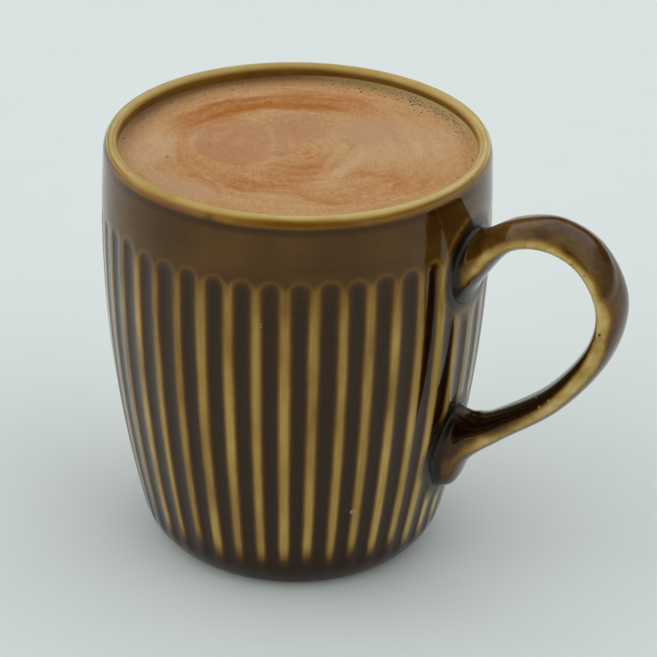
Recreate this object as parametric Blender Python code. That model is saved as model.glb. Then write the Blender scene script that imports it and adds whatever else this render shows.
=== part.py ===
"""A fluted stoneware mug, filled almost to its lip with white chocolate mocha.

The handle points along +X. The origin is on the table, under the middle of the whole length.
Driving dimensions are in millimetres; the model is built in metres.
"""

import math

import bmesh
import bpy

MM = 0.001

# The turned body
RIM_HEIGHT = 96.1
BODY_RADIUS = 43.0
WIDEST_HEIGHT = 75.0
OUTLINE_RADIUS = 287.0
LIP_THICKNESS = 3.0
WALL = 4.8
WALL_FULL_DEPTH = 25.0

# The underside
CORNER_RADIUS = 12.2
CORNER_TOP = 6.5
FOOT_OUTER_RADIUS = 30.4
FOOT_WIDTH = 3.6
FOOT_ROUNDING = 0.5
FOOT_RECESS = 1.5
FLOOR_TOP = 5.2
INNER_CORNER_RADIUS = 12.0

# The flutes, shallow vertical grooves with round tops
FLUTES = 44
FLUTE_DEPTH = 0.3
FLUTE_TOP = 81.6
FLUTE_TOP_CURVE = 2.6
FLUTE_BOTTOM = 2.6
FLUTE_BOTTOM_FADE = 5.5
RIDGE_SHARE = 0.3

# The handle: stations from the upper root to the lower one. Each holds the outer face's distance from
# the body's axis and its height, the same for the inner face, and half the handle's width.
HANDLE_STATIONS = (
    (40.8, 82.2, 40.8, 64.0, 8.6),
    (45.2, 83.9, 46.2, 73.6, 7.0),
    (51.8, 87.8, 52.7, 81.6, 6.7),
    (61.3, 89.5, 60.8, 83.7, 6.6),
    (71.4, 85.1, 68.0, 80.9, 6.5),
    (77.7, 73.9, 72.2, 73.0, 6.4),
    (75.4, 60.4, 70.3, 62.8, 6.2),
    (65.8, 46.3, 61.5, 50.2, 6.0),
    (53.0, 35.3, 49.2, 40.4, 5.9),
    (44.6, 27.6, 44.4, 38.6, 6.1),
    (40.6, 19.8, 41.2, 39.0, 6.4),
    (34.0, 18.4, 36.0, 38.8, 6.8),
)
HANDLE_REACH = 77.8
HANDLE_STEPS = 4
HANDLE_SIDES = 20
HANDLE_SQUARENESS = 2.6

# The drink
DRINK_LEVEL = 92.8
DRINK_GAP = 0.6

# The body's axis, measured from the middle of the whole length
BODY_AXIS_X = (BODY_RADIUS - HANDLE_REACH) / 2

# How finely the shapes are divided
COLUMNS = 4 * FLUTES
WALL_ROWS = (22.0, 38.0, 55.0, 73.0, 88.6)
BAND_ROW = 88.6
TAU = 2 * math.pi


def long_arc(height):
    """The turned body's outline above its lower corner: one long arc."""
    rise = height - WIDEST_HEIGHT
    return BODY_RADIUS - OUTLINE_RADIUS + math.sqrt(OUTLINE_RADIUS**2 - rise**2)


def lower_corner():
    """The centre of the round corner, which meets the long arc without a bend, as radius and height."""
    lean = math.asin((WIDEST_HEIGHT - CORNER_TOP) / OUTLINE_RADIUS)
    centre_radius = long_arc(CORNER_TOP) - CORNER_RADIUS * math.cos(lean)
    return centre_radius, CORNER_TOP + CORNER_RADIUS * math.sin(lean)


def outer_radius(height):
    """The body's outline at a height, the lower corner included."""
    if height >= CORNER_TOP:
        return long_arc(height)
    centre_radius, centre_height = lower_corner()
    return centre_radius + math.sqrt(CORNER_RADIUS**2 - (centre_height - height) ** 2)


def wall_at(height):
    """The wall thins towards the lip."""
    depth = min((RIM_HEIGHT - height) / WALL_FULL_DEPTH, 1.0)
    return LIP_THICKNESS + (WALL - LIP_THICKNESS) * depth


def inner_radius(height):
    """The inside of the wall, above the inner corner."""
    return outer_radius(height) - wall_at(height)


def inner_corner():
    """The centre of the round corner inside the mug, as radius and height."""
    height = FLOOR_TOP + INNER_CORNER_RADIUS
    return inner_radius(height) - INNER_CORNER_RADIUS, height


def smooth(value):
    """Ease from 0 to 1."""
    value = min(max(value, 0.0), 1.0)
    return value * value * (3 - 2 * value)


def flute_depth(turn, height):
    """How deep the grooves are at a place, given as a share of a full turn and a height."""
    across = abs((turn * FLUTES) % 1.0 - 0.5) * 2
    half_width = 1 - RIDGE_SHARE / 2
    if across >= half_width:
        return 0.0
    offset = across / half_width
    top = FLUTE_TOP - FLUTE_TOP_CURVE * (1 - math.sqrt(1 - offset**2))
    end = smooth((top - height) / FLUTE_TOP_CURVE)
    start = smooth((height - FLUTE_BOTTOM) / FLUTE_BOTTOM_FADE)
    return FLUTE_DEPTH * smooth(2.2 * (1 - offset)) * end * start


def add_ring(bm, radius, height, count, fluted=False):
    """A level ring of points round the body's axis."""
    ring = []
    for step in range(count):
        turn = step / count
        reach = radius - (flute_depth(turn, height) if fluted else 0.0)
        x = BODY_AXIS_X + reach * math.cos(TAU * turn)
        y = reach * math.sin(TAU * turn)
        ring.append(bm.verts.new((x * MM, y * MM, height * MM)))
    return ring


def join_rings(bm, first, second):
    """Faces between two rings, where one may hold twice as many points as the other."""
    ratio_first = max(len(first) // len(second), 1)
    ratio_second = max(len(second) // len(first), 1)
    for step in range(min(len(first), len(second))):
        lower = [first[(step * ratio_first + k) % len(first)] for k in range(ratio_first + 1)]
        upper = [second[(step * ratio_second + k) % len(second)] for k in range(ratio_second + 1)]
        bm.faces.new(lower + upper[::-1])


def cap_ring(bm, ring, height, inward_first):
    """A fan from a ring to the axis."""
    centre = bm.verts.new((BODY_AXIS_X * MM, 0.0, height * MM))
    for step, point in enumerate(ring):
        other = ring[(step + 1) % len(ring)]
        bm.faces.new((centre, other, point) if inward_first else (centre, point, other))


def arc_points(centre, radius, start, end, steps):
    """Points on an arc as (radius, height) pairs, with angles in degrees from outward."""
    points = []
    for step in range(steps + 1):
        angle = math.radians(start + (end - start) * step / steps)
        points.append((centre[0] + radius * math.cos(angle), centre[1] + radius * math.sin(angle)))
    return points


def corner_rows(steps):
    """Heights up the lower corner, evenly spaced along its arc, from the foot to the flutes' ends."""
    centre_radius, centre_height = lower_corner()
    first = math.acos((FOOT_OUTER_RADIUS + FOOT_ROUNDING - centre_radius) / CORNER_RADIUS)
    last = math.asin((centre_height - FLUTE_BOTTOM) / CORNER_RADIUS)
    angles = [first + (last - first) * step / steps for step in range(steps + 1)]
    return [centre_height - CORNER_RADIUS * math.sin(angle) for angle in angles]


def body_outline():
    """Rings from the underside, up the outside, over the lip and down the inside.

    Each is (radius, height, number of points, whether it is fluted).
    """
    coarse = COLUMNS // 4
    half = COLUMNS // 2
    foot_inner = FOOT_OUTER_RADIUS - FOOT_WIDTH
    rings = [
        (foot_inner - 1.0, FOOT_RECESS, coarse, False),
        (foot_inner, 0.0, coarse, False),
        (FOOT_OUTER_RADIUS, 0.0, half, False),
    ]
    rings += [(outer_radius(height), height, half, False) for height in corner_rows(4)]
    low_rows = [FLUTE_BOTTOM + share * FLUTE_BOTTOM_FADE for share in (0.35, 0.7, 1.0)]
    middle_rows = [low_rows[-1] + (FLUTE_TOP - low_rows[-1]) * share / 7 for share in range(1, 7)]
    high_rows = [FLUTE_TOP - FLUTE_TOP_CURVE * share for share in (2.0, 1.0, 0.5, 0.0)]
    for height in low_rows + middle_rows + high_rows:
        rings.append((outer_radius(height), height, COLUMNS, True))
    lip_radius = LIP_THICKNESS / 2
    lip_height = RIM_HEIGHT - lip_radius
    rings.append((outer_radius(BAND_ROW), BAND_ROW, half, False))
    lip_centre = (outer_radius(lip_height) - lip_radius, lip_height)
    rings += [(*point, half, False) for point in arc_points(lip_centre, lip_radius, 0, 180, 6)]
    for height in reversed(WALL_ROWS):
        rings.append((inner_radius(height), height, half, False))
    inner_arc = arc_points(inner_corner(), INNER_CORNER_RADIUS, 0, -90, 4)
    rings += [(*point, coarse, False) for point in inner_arc]
    return rings


def finish_object(name, bm, material):
    """Turn a bmesh into an object with smooth shading."""
    bmesh.ops.recalc_face_normals(bm, faces=bm.faces)
    mesh = bpy.data.meshes.new(name)
    bm.to_mesh(mesh)
    bm.free()
    mesh.shade_smooth()
    mesh.set_sharp_from_angle(angle=math.radians(40))
    if material is not None:
        mesh.materials.append(material)
    item = bpy.data.objects.new(name, mesh)
    bpy.context.collection.objects.link(item)
    return item


def make_material(name, colour, roughness):
    """A plain Principled material, colour in linear values."""
    material = bpy.data.materials.new(name)
    material.use_nodes = True
    shader = material.node_tree.nodes["Principled BSDF"]
    shader.inputs["Base Color"].default_value = (*colour, 1.0)
    shader.inputs["Roughness"].default_value = roughness
    shader.inputs["Metallic"].default_value = 0.0
    return material


def build_body(material):
    """The turned and fluted body, foot to lip to inner floor."""
    bm = bmesh.new()
    outline = body_outline()
    rings = [add_ring(bm, *row) for row in outline]
    for first, second in zip(rings, rings[1:]):
        join_rings(bm, first, second)
    cap_ring(bm, rings[0], FOOT_RECESS, True)
    cap_ring(bm, rings[-1], FLOOR_TOP, False)
    return finish_object("mug", bm, material)


def spline(values, position):
    """A smooth curve through evenly counted values, at a position from 0 to their number less one."""
    index = min(int(position), len(values) - 2)
    part = position - index
    before = values[max(index - 1, 0)]
    start, end = values[index], values[index + 1]
    after = values[min(index + 2, len(values) - 1)]
    pull_start, pull_end = (end - before) / 2, (after - start) / 2
    square, cube = part * part, part * part * part
    return (
        (2 * cube - 3 * square + 1) * start
        + (cube - 2 * square + part) * pull_start
        + (3 * square - 2 * cube) * end
        + (cube - square) * pull_end
    )


def handle_section(position):
    """Points round the handle at a position along its stations, a squared oval in section."""
    numbers = [spline(column, position) for column in zip(*HANDLE_STATIONS)]
    outer_x, outer_z, inner_x, inner_z, half_width = numbers
    power = 2 / HANDLE_SQUARENESS
    points = []
    for step in range(HANDLE_SIDES):
        angle = TAU * step / HANDLE_SIDES
        out = math.copysign(abs(math.cos(angle)) ** power, math.cos(angle))
        side = math.copysign(abs(math.sin(angle)) ** power, math.sin(angle))
        share = (1 + out) / 2
        x = BODY_AXIS_X + inner_x + (outer_x - inner_x) * share
        z = inner_z + (outer_z - inner_z) * share
        points.append((x * MM, half_width * side * MM, z * MM))
    return points


def build_handle():
    """The strap handle, its ends buried in the wall."""
    bm = bmesh.new()
    steps = (len(HANDLE_STATIONS) - 1) * HANDLE_STEPS
    rings = []
    for step in range(steps + 1):
        section = handle_section(step / HANDLE_STEPS)
        rings.append([bm.verts.new(point) for point in section])
    for first, second in zip(rings, rings[1:]):
        join_rings(bm, first, second)
    bm.faces.new(rings[0])
    bm.faces.new(rings[-1])
    return finish_object("handle_shape", bm, None)


def join_handle(body, handle):
    """Fuse the handle to the body: the two are fired as one piece."""
    union = body.modifiers.new("handle", "BOOLEAN")
    union.operation = "UNION"
    union.object = handle
    handle.hide_render = True
    handle.display_type = "WIRE"


def drink_radius(height):
    """The drink's outer radius, a gap inside the wall and the inner corner."""
    centre_radius, centre_height = inner_corner()
    if height >= centre_height:
        return inner_radius(height) - DRINK_GAP
    drop = min(centre_height - height, INNER_CORNER_RADIUS - DRINK_GAP)
    return centre_radius + math.sqrt((INNER_CORNER_RADIUS - DRINK_GAP) ** 2 - drop**2)


def build_drink(material):
    """The drink, one solid from the inner floor up to its foamy surface."""
    bm = bmesh.new()
    bottom = FLOOR_TOP + DRINK_GAP
    rise = inner_corner()[1] - bottom
    heights = [bottom + rise * (1 - math.cos(TAU / 4 * step / 4)) for step in range(5)]
    heights += [*WALL_ROWS, DRINK_LEVEL]
    rings = [add_ring(bm, drink_radius(height), height, COLUMNS // 4) for height in heights]
    for first, second in zip(rings, rings[1:]):
        join_rings(bm, first, second)
    cap_ring(bm, rings[0], bottom, True)
    cap_ring(bm, rings[-1], DRINK_LEVEL, False)
    return finish_object("drink", bm, material)


def clear_scene():
    """Start from an empty scene."""
    for item in list(bpy.data.objects):
        bpy.data.objects.remove(item)


def main():
    clear_scene()
    glaze = make_material("amber_glazed_stoneware", (0.062, 0.037, 0.014), 0.12)
    foam = make_material("milk_foam", (0.45, 0.26, 0.12), 0.5)
    body = build_body(glaze)
    join_handle(body, build_handle())
    build_drink(foam)


main()
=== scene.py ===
"""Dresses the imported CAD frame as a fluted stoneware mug, nearly full of white chocolate mocha.

Sizes are in metres, in the frame's own place. Each piece is made by its own operator, which main() calls.
"""

import math

import bmesh
import bpy
import numpy as np
from bpy.props import FloatProperty, FloatVectorProperty, IntProperty, PointerProperty, StringProperty
from mathutils import Matrix, Vector
from mathutils.bvhtree import BVHTree
from mathutils.kdtree import KDTree


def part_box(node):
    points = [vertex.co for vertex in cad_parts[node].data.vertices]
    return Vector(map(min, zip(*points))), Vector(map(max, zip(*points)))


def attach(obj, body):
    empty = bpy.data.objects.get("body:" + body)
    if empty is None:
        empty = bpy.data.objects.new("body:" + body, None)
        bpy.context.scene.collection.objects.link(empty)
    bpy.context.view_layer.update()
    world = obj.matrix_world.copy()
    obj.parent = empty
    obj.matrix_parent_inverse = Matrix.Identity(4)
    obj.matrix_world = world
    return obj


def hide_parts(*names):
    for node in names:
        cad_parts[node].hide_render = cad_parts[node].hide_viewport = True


bl_info = {
    "name": "Mug of White Chocolate Mocha",
    "version": (1, 0, 0),
    "blender": (4, 5, 0),
    "location": "3D View > Sidebar > Mocha",
    "description": "Builds a fluted stoneware mug and the foamy drink in it round a packed CAD frame",
    "category": "Object",
}

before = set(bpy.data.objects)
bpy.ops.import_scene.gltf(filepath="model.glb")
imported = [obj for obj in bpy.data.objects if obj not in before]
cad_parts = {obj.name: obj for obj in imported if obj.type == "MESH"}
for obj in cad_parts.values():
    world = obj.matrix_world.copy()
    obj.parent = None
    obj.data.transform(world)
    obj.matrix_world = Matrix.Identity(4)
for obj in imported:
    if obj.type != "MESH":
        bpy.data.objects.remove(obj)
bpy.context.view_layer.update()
MUG_LOW, MUG_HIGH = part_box("mug")
DRINK_LOW, DRINK_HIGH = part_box("drink")

MM = 0.001
TAU = 2 * math.pi

# The turned body, as in the CAD. The lip's outer roll is as high as the lip is thick.
BODY_RADIUS = MUG_HIGH.y
BODY_AXIS_X = MUG_LOW.x + BODY_RADIUS
RIM_HEIGHT = MUG_HIGH.z
WIDEST_HEIGHT = 75.0 * MM
OUTLINE_RADIUS = 287.0 * MM
LIP_THICKNESS = 3.0 * MM
LIP_ROLL = LIP_THICKNESS
WALL = 4.8 * MM
WALL_FULL_DEPTH = 25.0 * MM
CORNER_RADIUS = 12.2 * MM
CORNER_TOP = 6.5 * MM
FOOT_OUTER_RADIUS = 30.4 * MM
FOOT_WIDTH = 3.6 * MM
FOOT_ROUNDING = 0.5 * MM
FOOT_RECESS = 1.5 * MM
FLOOR_TOP = 5.2 * MM
INNER_CORNER_RADIUS = 12.0 * MM

# The flutes. A flute's half width is a share of their pitch, its cut and its glaze start at its edge, where
# 1 is that half width, and its section and the glaze's edge are steeper with higher values.
FLUTES = 44
PITCH = TAU * BODY_RADIUS / FLUTES
FLUTE_HALF_SHARE = 0.38
FLUTE_EDGE = 1.06
FLUTE_ROUNDNESS = 1.25
FLUTE_SLOPE = 1.5
FLUTE_ARCH_RISE = 2.5 * MM
FLUTE_TOP_SPREAD = 0.22 * MM
FLUTE_BOTTOM = 2.6 * MM
FLUTE_BOTTOM_FADE = 5.5 * MM

# The handle's stations from the upper root to the lower one, in millimetres. Each holds the outer face's
# distance from the body's axis and its height, the same for the inner face, and half the handle's width.
HANDLE_STATIONS = (
    (40.8, 82.2, 40.8, 64.0, 8.6),
    (45.2, 83.9, 46.2, 73.6, 7.0),
    (51.8, 87.8, 52.7, 81.6, 6.7),
    (61.3, 89.5, 60.8, 83.7, 6.6),
    (71.4, 85.1, 68.0, 80.9, 6.5),
    (77.7, 73.9, 72.2, 73.0, 6.4),
    (75.4, 60.4, 70.3, 62.8, 6.2),
    (65.8, 46.3, 61.5, 50.2, 6.0),
    (53.0, 35.3, 49.2, 40.4, 5.9),
    (44.6, 27.6, 44.4, 38.6, 6.1),
    (40.6, 19.8, 41.2, 39.0, 6.4),
    (34.0, 18.4, 36.0, 38.8, 6.8),
)
HANDLE_SQUARENESS = 2.05
HANDLE_SIDES = 56
# Clear of both roots between the first two of these stations, and back in the wall at the third
ARM_START = 1.5
ARM_END = 8.7
ROOT_END = 10.0

# The foam bites into the wall, and under it the drink keeps clear of the wall
DRINK_WALL_BITE = 0.35 * MM
DRINK_WALL_GAP = 0.6 * MM
DRINK_COLUMNS = 560
FOAM_RINGS = 150

# Small marks left in the glaze by the kiln. On the body each has an azimuth in degrees, a height and a
# radius in millimetres, and how dark its middle is painted (painted shade inside a pinhole, the colour of a
# speck); on the handle the first number is the distance from the body's axis. The lip has two brown smudges
# on its outside, each with an azimuth and a depth.
BODY_MARKS = ((-72.6, 71.4, 0.42, 0.6), (-42.2, 22.0, 0.5, 0.3))
HANDLE_MARKS = (
    (75.0, 69.3, 0.42, 1.0),
    (75.1, 67.9, 0.32, 0.35),
    (66.2, 51.9, 0.28, 0.5),
    (64.4, 50.2, 0.32, 0.4),
    (62.3, 48.1, 0.26, 0.5),
    (60.4, 48.6, 0.24, 0.4),
    (67.8, 84.2, 0.30, 0.3),
    (70.7, 82.3, 0.36, 0.3),
    (72.7, 77.0, 0.28, 0.5),
)
LIP_SMUDGES = ((-87.8, 0.15), (-40.7, 0.06))
# The section of a pit and of a bubble: share of its radius, rise as a share of its radius, and how dark,
# which paints the shade inside its hollow
PIT_PROFILE = ((1.4, -0.2, 0), (1.15, 0.04, 0), (0.9, 0.10, 0.15), (0.65, 0.08, 1), (0.3, 0.06, 1))
BUBBLE_PROFILE = ((1.15, -0.15, 0), (1.0, 0.16, 0), (0.78, 0.28, 1), (0.55, 0.12, 1), (0.25, 0.08, 1))
CRATER_SIDES = 10

# How thick the glaze lies, from 0, drawn thin, to 1, run together. The halo is the thinner line round each
# flute's top, and the run is the thin rim that the glaze left round the pools at the handle's roots.
BAND_GLAZE = 0.605
HALO_GLAZE = 0.535
RIDGE_GLAZE = 0.26
FLUTE_GLAZE = 0.93
FOOT_GLAZE = 0.97
RUN_GLAZE = 0.36
LIP_GLAZE = 0.12
LIP_OUTSIDE_GLAZE = 0.33
INSIDE_GLAZE = 0.46
STRAP_GLAZE = 0.60
ROOT_GLAZE = 0.55
STRAP_EDGE_GLAZE = 0.03

# Where bubbles gathered along the wall: the middle of each drift and its spread, in degrees from +X.
# Every sixth bubble lies anywhere.
BUBBLE_DRIFTS = ((70, 24), (66, 20), (74, 26), (62, 18), (140, 24))

# The way the foam was last pushed, in degrees from +X
GRAIN_TURN = -63.0

# How the foam was stirred, in millimetres from the mug's axis. A stroke runs through its points and has a
# half width and a depth of colour; a blot is an oval with its centre, radii, turn in degrees and depth.
EDDY = (-13.0, -3.0)
COFFEE_STROKES = (
    (
        ((-27, -4), (-26.4, 2), (-25, 8), (-22, 13.2), (-17.7, 17.3), (-12, 20.5), (-6.5, 23), (-1, 25)),
        3.9,
        0.50,
    ),
    (((-25, 1), (-24.2, 6), (-22, 10.5), (-19, 14), (-15, 17)), 1.6, 0.30),
    (((-12, 18.5), (-8.5, 20.5), (-4.5, 22.5), (-1, 23.5)), 1.7, 0.32),
    (((-20, 20.5), (-15, 25.3), (-10, 27.4), (-5, 28.8), (0, 28.5), (5, 26.5)), 2.6, 0.26),
    (((-30.5, 0), (-29, 8), (-26, 14.5), (-21, 20)), 1.8, 0.26),
    (((2, 1), (5, -4), (7.5, -9), (8, -14), (6, -18.5), (1, -21.5), (-6, -23), (-13, -22.5)), 3.2, 0.22),
    (((3, -21.5), (-2, -23.5), (-8, -24.3), (-15, -22)), 1.7, 0.22),
    (((-22, -8), (-21, -14), (-17, -19), (-12, -22)), 1.5, 0.05),
    (((5.5, 7), (8, 8.4), (10.2, 6.8), (10.4, 3.4)), 0.8, 0.30),
    (((10.4, 3.4), (10.6, -1), (11, -6)), 0.9, 0.16),
    (((15.5, -11), (17, -6), (21.5, -3.2), (27, -3.6), (30, -7)), 1.9, 0.18),
    (((26, -4.5), (29, -8), (28.5, -11.5)), 1.8, 0.17),
    (((18, -11.5), (21, -12), (24, -9.5)), 1.8, 0.14),
    (((30, 2), (31, -2), (30.5, -6)), 1.5, 0.16),
    (((10, -20.5), (15, -21.5), (22, -20.5)), 1.5, 0.18),
    (((-9.5, -26.3), (-5, -27.2), (-2.8, -29.6), (-4, -32.3)), 0.7, 0.28),
)
COFFEE_BLOTS = (
    ((22.5, -8.0), (6.0, 4.0), 10, 0.04),
    ((5.5, -15.0), (5.0, 6.0), 0, 0.12),
    ((4.0, -4.0), (6.5, 11.0), 0, 0.06),
    ((22.0, -18.0), (9.0, 4.0), 5, 0.06),
    ((-9.0, -18.0), (9.5, 3.5), 0, 0.10),
    ((29.0, 22.0), (6.5, 2.8), 120, 0.16),
    ((17.0, 13.0), (15.0, 11.0), 30, -0.20),
    ((-28.0, -15.0), (5.0, 9.5), 15, -0.24),
    ((-10.5, -29.5), (9.0, 3.6), -12, -0.14),
    ((-23.0, -18.0), (0.5, 0.5), 0, 0.40),
)
MILK_STROKES = (
    (((-24, 6), (-23.6, -2), (-21.5, -9), (-18, -12.8)), 0.8, 0.26),
    (((-18.5, 12), (-13, 15.5), (-7, 17)), 0.9, 0.12),
    (((-5, -13.5), (-2, -9), (-3.5, -5)), 0.7, 0.14),
    (((14, -12), (13.4, -5), (14, 1), (13.6, 6)), 2.2, 0.18),
)

FLOOR_RADIUS = 4.0
FLOOR_SIDES = 96


# ---------------------------------------------------------------- small tools


def linear(code):
    """An sRGB hex colour as linear RGBA."""
    values = []
    for start in (0, 2, 4):
        part = int(code[start : start + 2], 16) / 255
        values.append(part / 12.92 if part <= 0.04045 else ((part + 0.055) / 1.055) ** 2.4)
    return (*values, 1.0)


def smooth(values):
    """Ease from 0 to 1."""
    values = np.clip(values, 0.0, 1.0)
    return values * values * (3 - 2 * values)


def window(values, low, high, soft):
    """1 between two limits, easing to 0 past them."""
    return smooth((values - low) / soft + 0.5) * smooth((high - values) / soft + 0.5)


def blend(first, second, share):
    """From the first value, at a share of 0, to the second, at 1."""
    return first + (second - first) * share


def lattice(cells, seed):
    """A fixed random number from -1 to 1 for each whole-numbered cell."""
    mixed = cells[..., 0] * 73856093 ^ cells[..., 1] * 19349663 ^ cells[..., 2] * 83492791 ^ seed * 2654435
    mixed = (mixed ^ (mixed >> 13)) * 1274126177 & 0xFFFFFFFF
    mixed = (mixed ^ (mixed >> 16)) * 668265263 & 0xFFFFFFFF
    return (mixed & 0xFFFF) / 32767.5 - 1.0


def ripple(points, seed):
    """Smooth noise from -1 to 1 with cells of size one, at an array of points."""
    points = np.asarray(points, float)
    base = np.floor(points).astype(np.int64)
    part = smooth(points - base)
    total = np.zeros(points.shape[:-1])
    for corner in np.ndindex(2, 2, 2):
        offset = np.array(corner)
        share = np.prod(np.where(offset == 1, part, 1 - part), axis=-1)
        total += share * lattice(base + offset, seed)
    return total


def layered(points, seed, octaves=4):
    """Several ripples, each finer and weaker than the last."""
    total = 0.0
    for octave in range(octaves):
        total = total + ripple(np.asarray(points) * 2**octave, seed + octave) / 2**octave
    return total / 1.6


def stack(*columns):
    """Equal arrays as the columns of one array of points."""
    return np.stack(np.broadcast_arrays(*columns), axis=-1)


def new_mesh(name, points, faces):
    """A mesh from its points and faces."""
    mesh = bpy.data.meshes.new(name)
    mesh.from_pydata(points, [], faces)
    mesh.update()
    return mesh


def mesh_from_grid(name, grid):
    """A closed surface from rings of points, with each end closed by a fan to its middle."""
    rows, columns = grid.shape[:2]
    points = list(grid.reshape(-1, 3))
    index = np.arange(rows * columns).reshape(rows, columns)
    after = np.roll(index, -1, axis=1)
    faces = np.stack([index[:-1], after[:-1], after[1:], index[1:]], axis=-1).reshape(-1, 4).tolist()
    points.append(grid[0].mean(axis=0))
    faces += [(len(points) - 1, second, first) for first, second in zip(index[0], after[0])]
    points.append(grid[-1].mean(axis=0))
    faces += [(len(points) - 1, first, second) for first, second in zip(index[-1], after[-1])]
    return new_mesh(name, [tuple(point) for point in points], faces)


def set_values(mesh, name, values):
    """Store one number for each point of a mesh, for its material to read."""
    attribute = mesh.attributes.get(name) or mesh.attributes.new(name, "FLOAT", "POINT")
    attribute.data.foreach_set("value", np.asarray(values, np.float32))


def points_of(mesh):
    """The places of a mesh's points as an array."""
    flat = np.zeros(len(mesh.vertices) * 3, np.float32)
    mesh.vertices.foreach_get("co", flat)
    return flat.reshape(-1, 3).astype(float)


def link_piece(name, mesh, material):
    """Put a finished mesh in the scene as a piece that rides with the mug."""
    piece = bpy.data.objects.new(name, mesh)
    bpy.context.scene.collection.objects.link(piece)
    mesh.materials.clear()
    mesh.materials.append(material)
    mesh.shade_smooth()
    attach(piece, "root")
    return piece


# ---------------------------------------------------------------- the mug's form


def long_arc(height):
    """The outline above the lower corner: one long arc."""
    return BODY_RADIUS - OUTLINE_RADIUS + np.sqrt(OUTLINE_RADIUS**2 - (height - WIDEST_HEIGHT) ** 2)


def lower_corner():
    """The centre of the round corner at the foot, as radius and height."""
    lean = math.asin((WIDEST_HEIGHT - CORNER_TOP) / OUTLINE_RADIUS)
    centre_radius = long_arc(CORNER_TOP) - CORNER_RADIUS * math.cos(lean)
    return centre_radius, CORNER_TOP + CORNER_RADIUS * math.sin(lean)


def outer_radius(height):
    """The body's outline at any height."""
    height = np.asarray(height, float)
    centre_radius, centre_height = lower_corner()
    drop = np.clip(centre_height - height, -CORNER_RADIUS, CORNER_RADIUS)
    corner = centre_radius + np.sqrt(CORNER_RADIUS**2 - drop**2)
    return np.where(height >= CORNER_TOP, long_arc(height), corner)


def inner_radius(height):
    """The inside of the wall, which thins towards the lip."""
    depth = np.clip((RIM_HEIGHT - height) / WALL_FULL_DEPTH, 0.0, 1.0)
    return outer_radius(height) - LIP_THICKNESS - (WALL - LIP_THICKNESS) * depth


def flute_jitter():
    """Hand-made unevenness of each flute: shift of its centre, change of width, and rise of its top."""
    draw = np.random.default_rng(11)
    shift = draw.normal(0.0, 0.018, FLUTES)
    width = draw.normal(1.0, 0.035, FLUTES)
    rise = draw.normal(0.0, FLUTE_TOP_SPREAD, FLUTES)
    return shift, width, rise


def flute_offset(turn, height, top):
    """How far a place is from its flute's middle: 1 on the flute's edge, more on a ridge or the band."""
    shift, width, rise = flute_jitter()
    position = turn * FLUTES
    index = np.floor(position).astype(int) % FLUTES
    across = position - np.floor(position) - 0.5 - shift[index]
    wobble = ripple(stack(index * 3.7, height / (11 * MM), np.sign(across)), 5) * 0.012
    sideways = np.abs(across + wobble) / (FLUTE_HALF_SHARE * width[index])
    arch_centre = top + rise[index] - FLUTE_ARCH_RISE
    upward = np.maximum(height - arch_centre, 0.0) / FLUTE_ARCH_RISE
    return np.hypot(sideways, upward)


def flute_depth(turn, height, top, depth):
    """How deep the flutes are cut at a place."""
    start = smooth((height - FLUTE_BOTTOM) / FLUTE_BOTTOM_FADE)
    return depth * start * smooth(FLUTE_ROUNDNESS * (FLUTE_EDGE - flute_offset(turn, height, top)))


def column_turns():
    """Places round the body, closer together where ridges meet flutes."""
    shares = (0.0, 0.055, 0.11, 0.165, 0.23, 0.33, 0.5, 0.67, 0.77, 0.835, 0.89, 0.945)
    shift = flute_jitter()[0]
    turns = []
    for flute in range(FLUTES):
        before = (shift[flute - 1] + shift[flute]) / 2
        after = (shift[flute] + shift[(flute + 1) % FLUTES]) / 2
        for share in shares:
            moved = before + (after - before) * share
            turns.append((flute + share + moved) / FLUTES)
    return np.array(turns)


def arc_points(centre, radius, start, end, steps):
    """(radius, height) pairs on an arc, with angles in degrees from outward."""
    x, z = centre
    angles = np.radians(np.linspace(start, end, steps + 1))
    return [(x + radius * math.cos(angle), z + radius * math.sin(angle)) for angle in angles]


def on_outline(heights):
    """(radius, height) pairs on the body's outline."""
    return [(float(outer_radius(height)), height) for height in heights]


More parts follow.
